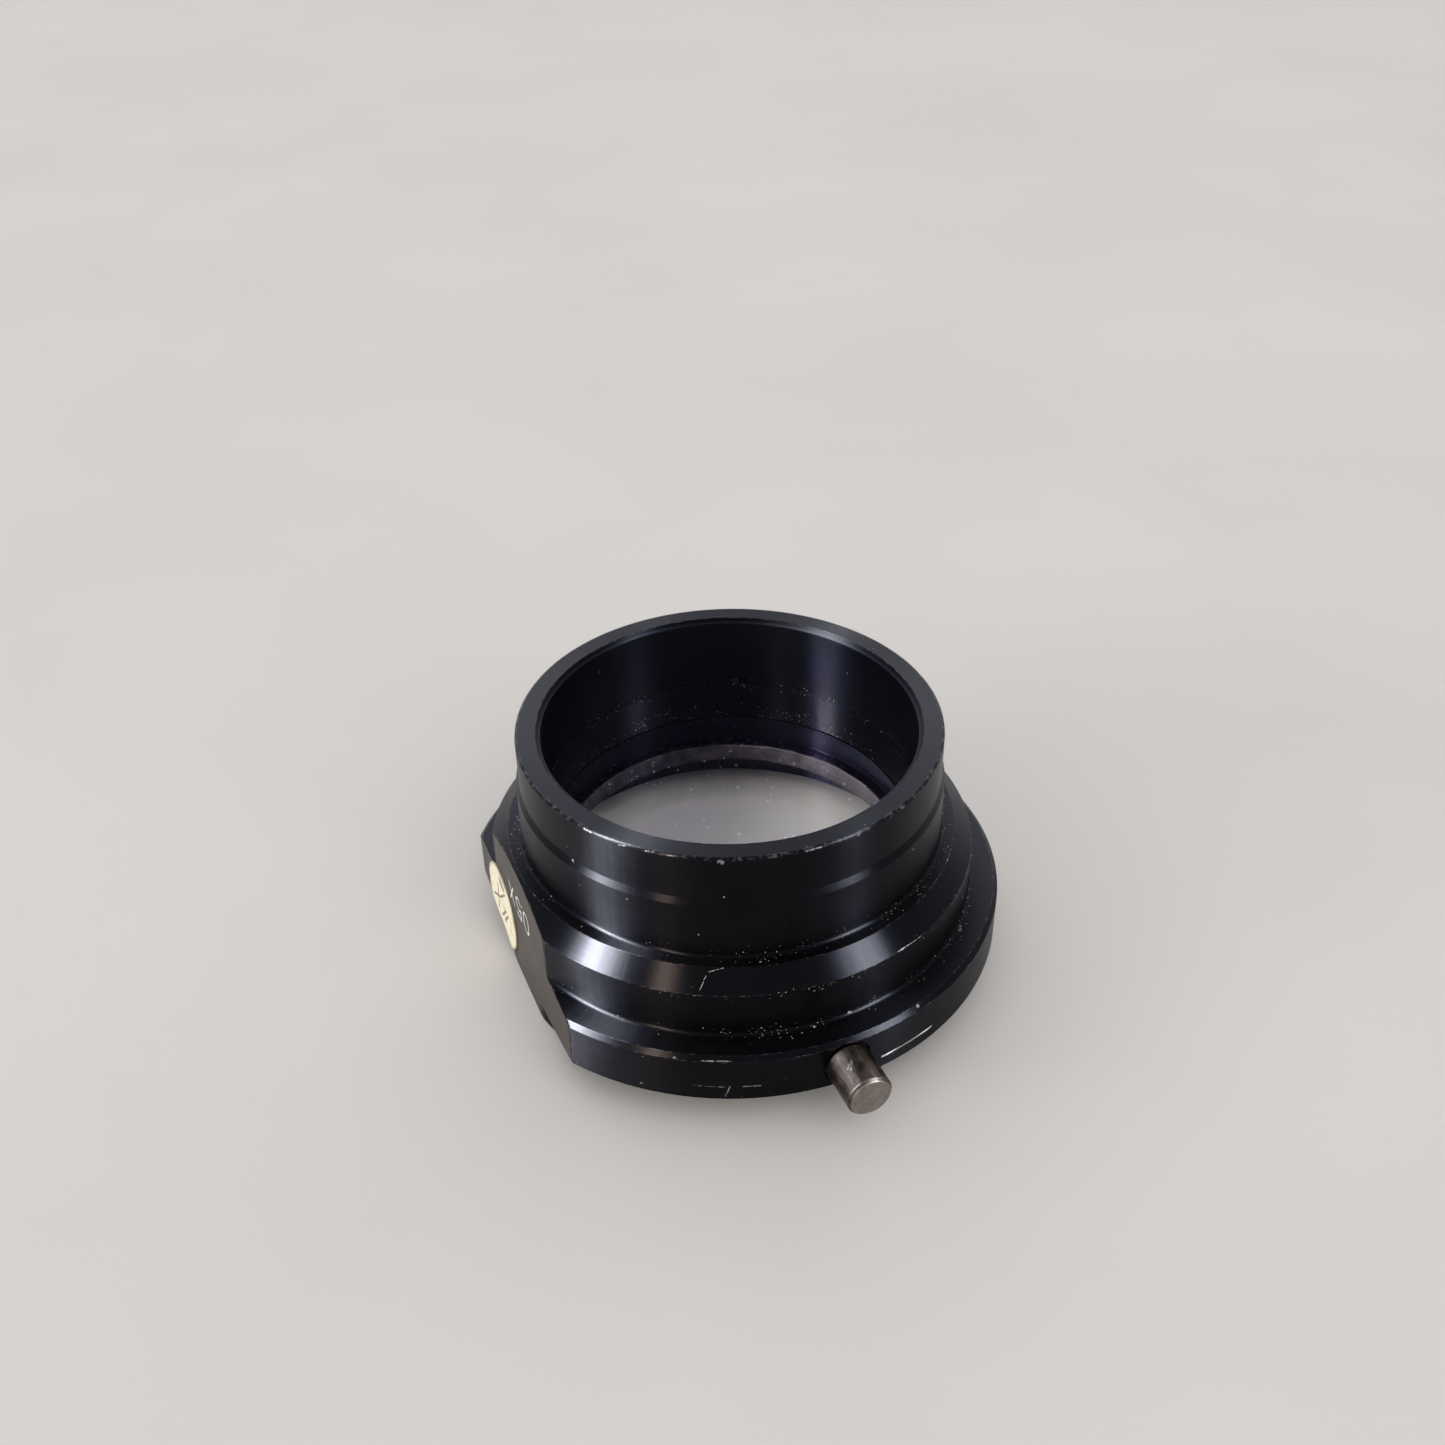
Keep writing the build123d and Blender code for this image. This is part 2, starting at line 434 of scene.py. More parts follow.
def cut(piece, tool):
    """Take the tool's shape out of the piece and throw the tool away."""
    modifier = piece.modifiers.new("cut", "BOOLEAN")
    modifier.operation = "DIFFERENCE"
    modifier.solver = "EXACT"
    modifier.material_mode = "TRANSFER"
    modifier.object = tool
    graph = bpy.context.evaluated_depsgraph_get()
    mesh = bpy.data.meshes.new_from_object(piece.evaluated_get(graph))
    piece.modifiers.clear()
    old = piece.data
    piece.data = mesh
    bpy.data.meshes.remove(old)
    old = tool.data
    bpy.data.objects.remove(tool)
    bpy.data.meshes.remove(old)
    mesh.name = piece.name
    mesh.set_sharp_from_angle(angle=radians(SHARP))


def block(name, size, matrix, material):
    """A plain block, used only as a cutting tool, in mm."""
    bm = bmesh.new()
    bmesh.ops.create_cube(bm, size=1.0)
    bmesh.ops.scale(bm, vec=size, verts=bm.verts)
    bmesh.ops.transform(bm, matrix=matrix, verts=bm.verts)
    return finish_mesh(name, bm, [material])


def along_pin(bm):
    """Turn a bmesh made about Z, from z = 0 at the pin's inner end, to lie along the pin."""
    turn = Matrix.Translation((0, -PIN_SEAT, PIN_HEIGHT)) @ Matrix.Rotation(pi / 2, 4, "X")
    bmesh.ops.transform(bm, matrix=turn, verts=bm.verts)
    return bm


# ---------------------------------------------------------------- materials
def put(tree, kind, inputs=None, **settings):
    """Add a node. Inputs are given by name or number: a socket is linked, anything else is set."""
    node = tree.nodes.new("ShaderNode" + kind)
    for key, value in settings.items():
        setattr(node, key, value)
    for key, value in (inputs or {}).items():
        feed(tree, node.inputs[key], value)
    return node


def feed(tree, socket, value):
    """Link a socket to a socket, or set its value."""
    if isinstance(value, bpy.types.NodeSocket):
        tree.links.new(value, socket)
    else:
        socket.default_value = value


def math(tree, operation, *values, clamp=False):
    """A Math node's result."""
    node = put(tree, "Math", dict(enumerate(values)), operation=operation, use_clamp=clamp)
    return node.outputs[0]


def times(tree, a, b):
    """The product of two sockets or numbers."""
    return math(tree, "MULTIPLY", a, b)


def plus(tree, a, b):
    """The sum of two sockets or numbers."""
    return math(tree, "ADD", a, b)


def weighted(tree, value, factor, offset):
    """The value times the factor, plus the offset."""
    return math(tree, "MULTIPLY_ADD", value, factor, offset)


def distance_out(tree, x, y):
    """The length of the vector (x, y)."""
    return vector(tree, "LENGTH", combine(tree, x, y, 0.0), out="Value")


def grained(tree, x, y, z=0.0, roughness=0.7):
    """Noise that is fine along coordinates scaled up and drawn out along those scaled down."""
    return noise(tree, combine(tree, x, y, z), 1.0, 4.0, roughness)


def tinted(tree, value, low, high, a, b):
    """Colour a where the value is below low, and b where it is above high."""
    return blend(tree, ramp(tree, value, low, high), a, b)

def vector(tree, operation, *values, out=0):
    """A Vector Math node's result."""
    return put(tree, "VectorMath", dict(enumerate(values)), operation=operation).outputs[out]


def noise(tree, where, scale, detail=3.0, roughness=0.55):
    """Noise between about 0.2 and 0.8."""
    inputs = {"Vector": where, "Scale": scale, "Detail": detail, "Roughness": roughness}
    return put(tree, "TexNoise", inputs).outputs[0]


def ramp(tree, value, low, high, start=0.0, end=1.0):
    """Start below low, end above high, and a smooth step between."""
    inputs = {"Value": value, "From Min": low, "From Max": high, "To Min": start, "To Max": end}
    return put(tree, "MapRange", inputs, interpolation_type="SMOOTHSTEP").outputs[0]


def blend(tree, share, a, b):
    """Colour a where share is 0 and b where it is 1."""
    node = put(tree, "Mix", {0: share}, data_type="RGBA")
    feed(tree, node.inputs[6], a)
    feed(tree, node.inputs[7], b)
    return node.outputs[2]


def place(tree):
    """The point being shaded, in mm in the part's own frame."""
    here = put(tree, "TexCoord").outputs["Object"]
    return scaled(tree, here, 1 / MM)


def scaled(tree, socket, factor):
    """A vector times a number."""
    node = put(tree, "VectorMath", {0: socket}, operation="SCALE")
    node.inputs["Scale"].default_value = factor
    return node.outputs[0]


def polar(tree, here):
    """Radius and azimuth in degrees about the optical axis, and height."""
    split = put(tree, "SeparateXYZ", {0: here})
    flat = put(tree, "CombineXYZ", {0: split.outputs[0], 1: split.outputs[1]}).outputs[0]
    radius = vector(tree, "LENGTH", flat, out="Value")
    azimuth = times(tree, math(tree, "ARCTAN2", split.outputs[1], split.outputs[0]), 180 / pi)
    return radius, azimuth, split.outputs[2]


def combine(tree, x, y, z):
    """A vector of three sockets or numbers."""
    return put(tree, "CombineXYZ", {0: x, 1: y, 2: z}).outputs[0]


def near_line(tree, here, a, b, width):
    """1 on the straight line from a to b, falling to 0 at half the width each side."""
    a, b = Vector(a), Vector(b)
    span = b - a
    offset = vector(tree, "SUBTRACT", here, tuple(a))
    share = vector(tree, "DOT_PRODUCT", offset, tuple(span / max(span.length_squared, 1e-9)), out="Value")
    foot = put(tree, "VectorMath", {0: tuple(span)}, operation="SCALE")
    feed(tree, foot.inputs["Scale"], math(tree, "MULTIPLY", share, 1.0, clamp=True))
    gap = vector(tree, "DISTANCE", offset, foot.outputs[0], out="Value")
    return ramp(tree, gap, 0.2 * width, 0.6 * width, 1.0, 0.0)


def largest(tree, values):
    """The largest of several sockets."""
    result = values[0]
    for value in values[1:]:
        result = math(tree, "MAXIMUM", result, value)
    return result


def around(azimuth, radius, height):
    """A point of the cell from its azimuth in degrees, radius and height."""
    return (radius * cos(radians(azimuth)), radius * sin(radians(azimuth)), height)


def new_material(name):
    """A material, its tree, its Principled shader and the point being shaded."""
    material = bpy.data.materials.new(name)
    material.use_nodes = True
    tree = material.node_tree
    return material, tree, tree.nodes["Principled BSDF"], place(tree)


def preset(shader, values):
    """Set the shader's constant inputs."""
    for name, value in values.items():
        shader.inputs[name].default_value = value


def raised(tree, shader, height, strength, depth=MM):
    """Bump the shader's surface by a height."""
    bump = put(tree, "Bump", {"Height": height, "Strength": strength, "Distance": depth})
    feed(tree, shader.inputs["Normal"], bump.outputs[0])


def point_value(tree, name):
    """A number stored on the mesh's points."""
    return put(tree, "Attribute", attribute_name=name).outputs["Fac"]


ANODISE_DEEP = (0.0030, 0.0030, 0.0046, 1)
ANODISE_PALE = (0.0070, 0.0067, 0.0092, 1)
# Painted light: a paler anodise for the inside of the bore, which lifts its shade
ANODISE_BORE_PAINTED_LIGHT = (0.016, 0.017, 0.026, 1)
WORN = (0.42, 0.40, 0.39, 1)
BARE = (0.45, 0.43, 0.42, 1)
DUST = (0.27, 0.235, 0.19, 1)
# Partly dust, partly painted light: a paler brownish grey for the foot of the front bore, which lifts its
# shade
FOOT_DUST_AND_PAINTED_LIGHT = (0.085, 0.080, 0.086, 1)


def dust_specks(tree, here, where, size, share):
    """Small irregular specks, in that share of cells of the given size, and fewer where the mask fades."""
    cells = put(tree, "TexVoronoi", {"Vector": here, "Scale": 1 / size, "Randomness": 1.0})
    pick = put(tree, "SeparateXYZ", {0: cells.outputs["Color"]}).outputs
    chosen = math(tree, "LESS_THAN", pick[0], times(tree, where, share))
    radius = weighted(tree, math(tree, "POWER", pick[1], 2.0), 0.20, 0.13)
    wobble = weighted(tree, noise(tree, here, 6 / size, 2.0), 0.20, -0.10)
    inside = math(tree, "GREATER_THAN", radius, plus(tree, cells.outputs["Distance"], wobble))
    return times(tree, inside, chosen)


def near_circle(tree, radius, height, at_radius, at_height, reach):
    """1 near a circle round the optical axis, falling to 0 at the given reach."""
    circle = (at_radius, at_height, 0.0)
    gap = vector(tree, "DISTANCE", combine(tree, radius, height, 0.0), circle, out="Value")
    return ramp(tree, gap, 0.25 * reach, reach, 1.0, 0.0)


def anodise():
    """Black anodised, turned aluminium: satin round the axis, worn on the edges, dusty in the corners, made
    paler by painted light in the bore and at the front bore's foot.
    """
    material, tree, shader, here = new_material("black_anodise")
    radius, azimuth, height = polar(tree, here)
    lines = grained(tree, times(tree, radius, 5.0), times(tree, azimuth, 0.03), times(tree, height, 5.0))
    cloud = noise(tree, here, 0.16, 4.0, 0.6)
    mottle = plus(tree, times(tree, lines, 0.35), times(tree, cloud, 0.65))
    colour = tinted(tree, mottle, 0.35, 0.65, ANODISE_DEEP, ANODISE_PALE)
    inside = math(tree, "LESS_THAN", radius, REAR_BORE_RADIUS + 0.2)
    # Painted light: the inside of the bore is made paler against its shade
    colour = blend(tree, inside, colour, ANODISE_BORE_PAINTED_LIGHT)

    inner_rim = math(tree, "LESS_THAN", radius, REAR_BORE_RADIUS + REAR_BORE_BEVEL + 0.05)
    edge = ramp(tree, point_value(tree, "edge"), 0.55, 0.95)
    edge = times(tree, edge, math(tree, "SUBTRACT", 1.0, inside))
    soft_step = math(tree, "COMPARE", height, (NECK_ROOT_TOP + NECK_BAND_FOOT) / 2, 0.8)
    edge = times(tree, edge, math(tree, "SUBTRACT", 1.0, soft_step))
    chips = noise(tree, here, 1.6, 5.0, 0.75)
    rubbed = times(tree, edge, ramp(tree, chips, 0.46, 0.68, 0.0, 0.22))
    chipped = times(tree, edge, ramp(tree, chips, 0.70, 0.72))
    # Scratches and knocks in bare metal; the first four, on the rim's front edge, are also painted glints
    # there
    marks = [near_line(tree, here, around(*a), around(*b), width) for a, b, width in SCRATCHES]
    broken_up = ramp(tree, noise(tree, here, 4.0, 4.0, 0.7), 0.38, 0.62, 0.0, 0.85)
    scratch = times(tree, largest(tree, marks), broken_up)
    bare = math(tree, "MAXIMUM", chipped, scratch, clamp=True)

    corners = [near_circle(tree, radius, height, *circle) for circle in DUSTY_CORNERS]
    patches = ramp(tree, noise(tree, here, 0.30, 3.0), 0.36, 0.62, 0.15, 1.0)
    cleaner_side = ramp(tree, math(tree, "ABSOLUTE", plus(tree, azimuth, 165.0)), 25.0, 60.0, 0.2, 1.0)
    resting = times(tree, times(tree, largest(tree, corners), patches), cleaner_side)
    dust = largest(tree, [
        dust_specks(tree, here, resting, 0.30, 0.85),
        dust_specks(tree, here, math(tree, "MAXIMUM", resting, 0.06), 0.48, 0.14),
    ])

    # Low in the front bore: a dusty film with painted light that lifts the shade there, in patches
    low_down = math(tree, "LESS_THAN", height, FRONT_BORE_TOP + 0.1)
    film = times(tree, low_down, math(tree, "LESS_THAN", radius, FRONT_BORE_RADIUS + 0.1))
    colour = blend(tree, times(tree, film, ramp(tree, chips, 0.2, 0.7)), colour, FOOT_DUST_AND_PAINTED_LIGHT)
    colour = blend(tree, rubbed, colour, WORN)
    colour = blend(tree, bare, colour, BARE)
    colour = blend(tree, dust, colour, DUST)
    feed(tree, shader.inputs["Base Color"], colour)
    metal = math(tree, "MAXIMUM", rubbed, bare)
    feed(tree, shader.inputs["Metallic"], times(tree, metal, math(tree, "SUBTRACT", 1.0, dust)))
    bands = grained(tree, times(tree, azimuth, 0.55), 0.0, 7.0)
    gloss = weighted(tree, cloud, 0.08, 0.21)
    gloss = weighted(tree, lines, 0.07, gloss)
    gloss = weighted(tree, bands, 0.10, gloss)
    inner_bevel = times(tree, inner_rim, ramp(tree, height, CELL_HEIGHT - 0.65, CELL_HEIGHT - 0.5))
    gloss = weighted(tree, inner_bevel, 0.20, gloss)
    gloss = weighted(tree, inside, -0.03, gloss)
    feed(tree, shader.inputs["Roughness"], math(tree, "MAXIMUM", gloss, times(tree, dust, 0.9)))
    feed(tree, shader.inputs["Specular IOR Level"], weighted(tree, inside, -0.03, 0.35))
    shader.inputs["Specular Tint"].default_value = (0.88, 0.90, 1.0, 1)
    feed(tree, shader.inputs["Anisotropic"], weighted(tree, inside, -0.06, 0.96))
    shader.inputs["Anisotropic Rotation"].default_value = 0.25
    feed(tree, shader.inputs["Tangent"], put(tree, "Tangent", direction_type="RADIAL", axis="Z").outputs[0])
    relief = weighted(tree, lines, 0.008, times(tree, dust, 0.06))
    relief = weighted(tree, bands, 0.010, relief)
    relief = weighted(tree, bare, -0.02, relief)
    raised(tree, shader, relief, 0.5)
    return material


def milled():
    """The keying flat: the same anodise over fine slanting cutter lines, with a dark brown rim beside the
    label.
    """
    material, tree, shader, here = new_material("milled_anodise")
    split = put(tree, "SeparateXYZ", {0: here}).outputs
    lean = radians(CUTTER_LEAN)
    y, z = split[1], split[2]
    across = plus(tree, times(tree, y, -sin(lean)), times(tree, z, cos(lean)))
    along = plus(tree, times(tree, y, cos(lean)), times(tree, z, sin(lean)))
    lines = grained(tree, times(tree, across, 6.0), times(tree, along, 0.12))
    cloud = noise(tree, here, 0.25, 3.0)
    colour = tinted(tree, lines, 0.3, 0.7, (0.009, 0.007, 0.006, 1), (0.034, 0.028, 0.023, 1))

    # A dark brown band on the flat along the label's upper right edge, as seen from outside
    u = math(tree, "SUBTRACT", y, LABEL_Y)
    v = math(tree, "SUBTRACT", z, LABEL_Z)
    reach = distance_out(tree, u, v)
    ragged = weighted(tree, noise(tree, here, 1.1, 4.0, 0.7), 1.2, -0.6)
    reach = plus(tree, reach, ragged)
    side = ramp(tree, math(tree, "SUBTRACT", times(tree, v, 0.75), u), -2.5, 2.5)
    dark_rim = times(tree, ramp(tree, reach, LABEL_RADIUS + 0.1, LABEL_RADIUS + 0.5, 1.0, 0.0), side)
    colour = blend(tree, dark_rim, colour, (0.030, 0.019, 0.010, 1))

    edge = point_value(tree, "edge")
    rub = ramp(tree, noise(tree, here, 1.4, 5.0, 0.75), 0.55, 0.62)
    worn = times(tree, ramp(tree, edge, 0.5, 0.9), rub)
    colour = blend(tree, worn, colour, BARE)
    feed(tree, shader.inputs["Base Color"], colour)
    feed(tree, shader.inputs["Metallic"], worn)
    gloss = weighted(tree, lines, 0.16, 0.27)
    gloss = weighted(tree, cloud, 0.08, gloss)
    feed(tree, shader.inputs["Roughness"], math(tree, "MAXIMUM", gloss, times(tree, dark_rim, 0.75)))
    preset(shader, {
        "Specular IOR Level": 0.40,
        "Specular Tint": (1.0, 0.94, 0.87, 1),
    })
    relief = weighted(tree, lines, 0.022, times(tree, dark_rim, 0.02))
    raised(tree, shader, relief, 0.6)
    return material


def bare_metal():
    """Fresh aluminium at the bottom of a scored line."""
    material, tree, shader, here = new_material("bare_metal")
    grain = noise(tree, vector(tree, "MULTIPLY", here, (0.6, 0.6, 9.0)), 1.0, 4.0, 0.7)
    colour = tinted(tree, grain, 0.3, 0.7, (0.40, 0.385, 0.37, 1), (0.66, 0.64, 0.62, 1))
    feed(tree, shader.inputs["Base Color"], colour)
    feed(tree, shader.inputs["Roughness"], weighted(tree, grain, 0.25, 0.22))
    shader.inputs["Metallic"].default_value = 1.0
    return material


def glass():
    """Coated glass: blue-violet in reflections, nearly clear, and letting lamps reach what is below."""
    material, tree, shader, here = new_material("coated_glass")
    film = noise(tree, here, 0.35, 4.0, 0.6)
    specks = dust_specks(tree, here, ramp(tree, noise(tree, here, 0.12, 2.0), 0.35, 0.65), 0.8, 0.10)
    colour = tinted(tree, film, 0.2, 0.8, (0.86, 0.85, 0.83, 1), (0.91, 0.90, 0.88, 1))
    feed(tree, shader.inputs["Base Color"], colour)
    smears = ramp(tree, film, 0.45, 0.9, 0.0, 0.06)
    feed(tree, shader.inputs["Roughness"], math(tree, "MAXIMUM", times(tree, specks, 0.8), smears))
    preset(shader, {
        "Transmission Weight": 0.99,
        "Sheen Weight": 0.22,
        "Sheen Tint": (0.30, 0.36, 0.95, 1),
        "IOR": 1.65,
        "Thin Film Thickness": 120.0,
        "Thin Film IOR": 1.38,
    })
    clear = put(tree, "BsdfTransparent", {"Color": (0.60, 0.585, 0.56, 1)})
    path = put(tree, "LightPath")
    shares = {0: path.outputs["Is Shadow Ray"], 1: shader.outputs[0], 2: clear.outputs[0]}
    mixed = put(tree, "MixShader", shares)
    feed(tree, tree.nodes["Material Output"].inputs["Surface"], mixed.outputs[0])
    return material


def ground_edge():
    """The doublet's edge: ground, and painted black against stray light."""
    material, tree, shader, here = new_material("blackened_edge")
    radius, azimuth, height = polar(tree, here)
    streak = grained(tree, times(tree, azimuth, 0.15), 0.0, times(tree, height, 3.0), 0.65)
    colour = tinted(tree, streak, 0.3, 0.75, (0.006, 0.006, 0.011, 1), (0.016, 0.017, 0.030, 1))
    feed(tree, shader.inputs["Base Color"], colour)
    feed(tree, shader.inputs["Roughness"], weighted(tree, streak, 0.3, 0.5))
    shader.inputs["Specular IOR Level"].default_value = 0.15
    return material


def ring_finish():
    """Matte black anodise with a film of brownish dust."""
    material, tree, shader, here = new_material("ring_anodise")
    radius, azimuth, height = polar(tree, here)
    lines = grained(tree, times(tree, radius, 4.0), times(tree, azimuth, 0.05), times(tree, height, 4.0))
    film = noise(tree, here, 0.5, 4.0, 0.6)
    colour = tinted(tree, film, 0.3, 0.7, (0.055, 0.050, 0.056, 1), (0.110, 0.098, 0.100, 1))
    specks = dust_specks(tree, here, 1.0, 0.6, 0.22)
    colour = blend(tree, specks, colour, DUST)
    feed(tree, shader.inputs["Base Color"], colour)
    feed(tree, shader.inputs["Roughness"], weighted(tree, lines, 0.25, 0.5))
    relief = weighted(tree, lines, 0.02, times(tree, specks, 0.06))
    raised(tree, shader, relief, 0.5)
    return material


def steel():
    """Ground dowel steel, slightly dulled and brownish, with faint lines along it and rings on its end, its
    body darker partly as painted shade.
    """
    material, tree, shader, here = new_material("pin_steel")
    split = put(tree, "SeparateXYZ", {0: here}).outputs
    u = split[0]
    v = math(tree, "SUBTRACT", split[2], PIN_HEIGHT)
    reach = distance_out(tree, u, v)
    turn = math(tree, "ARCTAN2", v, u)
    on_end = ramp(tree, times(tree, split[1], -1.0), PIN_REACH - 0.12, PIN_REACH - 0.04)
    length_lines = grained(tree, times(tree, turn, 9.0), times(tree, split[1], 0.5))
    end_lines = grained(tree, times(tree, reach, 7.0), times(tree, turn, 0.4), 3.0)
    on_side = math(tree, "SUBTRACT", 1.0, on_end)
    lines = plus(tree, times(tree, on_end, end_lines), times(tree, on_side, length_lines))
    stain = noise(tree, here, 0.7, 4.0, 0.65)
    tone = plus(tree, times(tree, lines, 0.5), times(tree, stain, 0.5))
    tone = ramp(tree, tone, 0.35, 0.65)
    # Partly painted shade: the body gets a darker steel than its end face, which dims the window's glint on
    # the body
    body = blend(tree, tone, (0.072, 0.061, 0.055, 1), (0.135, 0.119, 0.109, 1))
    face = blend(tree, tone, (0.18, 0.158, 0.145, 1), (0.30, 0.275, 0.255, 1))
    colour = blend(tree, on_end, body, face)
    rub = [near_line(tree, here, a, b, width) for a, b, width in PIN_RUBS]
    rub = times(tree, largest(tree, rub), ramp(tree, noise(tree, here, 4.0, 4.0, 0.7), 0.35, 0.55))
    colour = blend(tree, rub, colour, (0.34, 0.32, 0.30, 1))
    feed(tree, shader.inputs["Base Color"], colour)
    shader.inputs["Metallic"].default_value = 1.0
    gloss = weighted(tree, lines, 0.14, 0.26)
    feed(tree, shader.inputs["Roughness"], weighted(tree, stain, 0.10, gloss))
    relief = weighted(tree, lines, 0.010, times(tree, stain, 0.006))
    raised(tree, shader, relief, 0.6)
    return material


def white_filler():
    """White engraving paint, a little chalky and dirty."""
    material, tree, shader, here = new_material("mark_white")
    grime = noise(tree, here, 2.2, 4.0, 0.65)
    colour = tinted(tree, grime, 0.52, 0.78, (0.92, 0.91, 0.89, 1), (0.55, 0.53, 0.50, 1))
    feed(tree, shader.inputs["Base Color"], colour)
    feed(tree, shader.inputs["Roughness"], weighted(tree, grime, 0.3, 0.45))
    raised(tree, shader, noise(tree, here, 9.0, 3.0), 0.3, 0.05 * MM)
    return material


def paper():
    """Aged cream paper with fibres, stains and a few strokes of brown ink."""
    material, tree, shader, here = new_material("label_paper")
    fibres = noise(tree, vector(tree, "MULTIPLY", here, (4.0, 2.0, 7.0)), 1.0, 5.0, 0.7)
    stain = noise(tree, here, 0.45, 4.0, 0.6)
    colour = tinted(tree, fibres, 0.3, 0.7, (0.93, 0.82, 0.60, 1), (0.98, 0.92, 0.74, 1))
    colour = blend(tree, ramp(tree, stain, 0.52, 0.75, 0.0, 0.55), colour, (0.56, 0.44, 0.27, 1))
    split = put(tree, "SeparateXYZ", {0: here}).outputs
    u = math(tree, "SUBTRACT", split[1], LABEL_Y)
    v = math(tree, "SUBTRACT", split[2], LABEL_Z)
    reach = distance_out(tree, u, v)
    dirty = weighted(tree, fibres, 0.8, reach)
    soiled = ramp(tree, dirty, LABEL_RADIUS - 0.1, LABEL_RADIUS + 0.45, 0.0, 0.7)
    colour = blend(tree, soiled, colour, (0.30, 0.22, 0.12, 1))
    ink = [near_line(tree, here, on_label(*a), on_label(*b), width) for a, b, width in INK]
    faded = ramp(tree, noise(tree, here, 3.2, 4.0, 0.7), 0.30, 0.55, 0.35, 0.95)
    ink = times(tree, largest(tree, ink), faded)
    colour = blend(tree, ink, colour, (0.11, 0.075, 0.045, 1))
    feed(tree, shader.inputs["Base Color"], colour)
    feed(tree, shader.inputs["Roughness"], weighted(tree, fibres, 0.2, 0.68))
    raised(tree, shader, fibres, 0.5, 0.05 * MM)
    return material


# ---------------------------------------------------------------- what is drawn on the surfaces
CUTTER_LEAN = 48                # degrees that the flat's cutter lines rise towards +Y

# The label, on the flat: centre, size and the torn side, as in the CAD part
LABEL_Y = 8.2
LABEL_Z = 5.8
LABEL_RADIUS = 5.3
LABEL_THICKNESS = 0.12
LABEL_TEAR = [(16.0, 4.3), (13.1, 3.4), (7.3, 1.9), (5.6, 0.7), (5.6, -1.0), (16.0, -1.0)]


def on_label(u, v):
    """A point of the label's face: u mm to the right of its centre as it is seen from outside, v mm up."""
    return (-FLAT - LABEL_THICKNESS, LABEL_Y - u, LABEL_Z + v)


INK = [
    ((-3.6, -0.9), (-0.4, 1.0), 0.45),
    ((-0.4, 1.0), (1.8, 3.0), 0.38),
    ((-1.8, -1.6), (-1.0, 2.6), 0.42),
    ((-0.6, -1.9), (1.4, 0.2), 0.40),
    ((0.4, -2.0), (2.2, 0.0), 0.42),
    ((1.2, -1.7), (0.6, 0.3), 0.34),
    ((0.2, 4.1), (1.3, 3.6), 1.10),
]

# Scratches and knocks, some also painted glints: two ends as (azimuth in degrees, radius, height), and a
# width in mm
SCRATCHES = [
    # The first four, along the rim's outer edge, are chips that also serve as painted glints of the window on
    # that edge
    ((-151.2, NECK_RADIUS, 30.1), (-149.0, NECK_RADIUS, 30.1), 0.22),
    ((-141.0, NECK_RADIUS, 29.9), (-139.0, NECK_RADIUS, 30.1), 0.20),
    ((-133.5, NECK_RADIUS, 30.15), (-131.5, NECK_RADIUS, 30.2), 0.20),
    ((-128.0, NECK_RADIUS, 30.15), (-126.0, NECK_RADIUS, 30.2), 0.16),
    ((-115.2, NECK_RADIUS, 29.95), (-114.7, NECK_RADIUS, 29.85), 0.60),
    ((-94.0, NECK_RADIUS, 30.1), (-90.0, NECK_RADIUS, 30.15), 0.20),
    ((-80.0, NECK_RADIUS, 30.0), (-79.4, NECK_RADIUS, 29.95), 0.30),
    ((-119.6, 26.75, 16.0), (-118.5, 25.75, 17.0), 0.12),
    ((-117.9, 25.45, 17.3), (-114.6, 25.15, 17.6), 0.11),
    ((-121.0, COLLAR_RADIUS, 15.55), (-110.0, COLLAR_RADIUS, 15.6), 0.08),
    ((-73.5, COLLAR_RADIUS, 15.65), (-66.0, COLLAR_RADIUS, 15.55), 0.16),
    ((-120.2, FLANGE_RADIUS, 6.15), (-114.4, FLANGE_RADIUS, 6.1), 0.13),
    ((-113.3, FLANGE_RADIUS, 6.2), (-114.3, FLANGE_RADIUS, 4.7), 0.18),
    ((-110.8, FLANGE_RADIUS, 6.15), (-107.5, FLANGE_RADIUS, 6.15), 0.18),
    ((-130.9, FLANGE_RADIUS, 5.15), (-130.6, FLANGE_RADIUS, 5.15), 0.25),
    ((-124.2, 30.40, 9.78), (-123.8, 30.40, 9.78), 0.30),
    ((-118.6, 30.42, 9.75), (-113.0, 30.40, 9.78), 0.16),
    ((-73.2, 30.2, 9.98), (-72.9, 30.2, 9.98), 0.35),
    ((-86.4, COLLAR_RADIUS, 10.4), (-86.1, COLLAR_RADIUS, 10.4), 0.40),
    ((-48.6, 27.75, FLANGE_TOP), (-48.0, 27.7, FLANGE_TOP + 0.05), 0.35),
    ((-156.3, NECK_RADIUS, 24.9), (-156.0, NECK_RADIUS, 24.7), 0.30),
]

# Corners where dust has settled: circles round the axis as (radius, height, reach)
DUSTY_CORNERS = [
    (NECK_ROOT_RADIUS + 0.2, SHOULDER_HEIGHT + 0.2, 1.5),
    (COLLAR_RADIUS + 0.2, FLANGE_TOP + 0.2, 1.3),
    (THROAT_TOP_RADIUS, REAR_BORE_FOOT, 0.9),
    (THROAT_FOOT_RADIUS, SEAT_HEIGHT, 2.6),
    (COLLAR_RADIUS, SHOULDER_HEIGHT - COLLAR_BEVEL - 0.3, 0.7),
]

PIN_RUBS = [
    ((-0.6, -32.4, PIN_HEIGHT + 2.45), (-1.2, -33.4, PIN_HEIGHT + 2.2), 0.25),
    ((-0.9, -32.6, PIN_HEIGHT + 2.4), (-1.4, -33.1, PIN_HEIGHT + 2.1), 0.2),
]

# The groove scored in the flange's rim beside the pin, as in the CAD part
GROOVE_AZIMUTH = -75.7
GROOVE_HALF_ANGLE = 6.7
GROOVE_HEIGHT = 5.8
GROOVE_WIDTH = 0.25


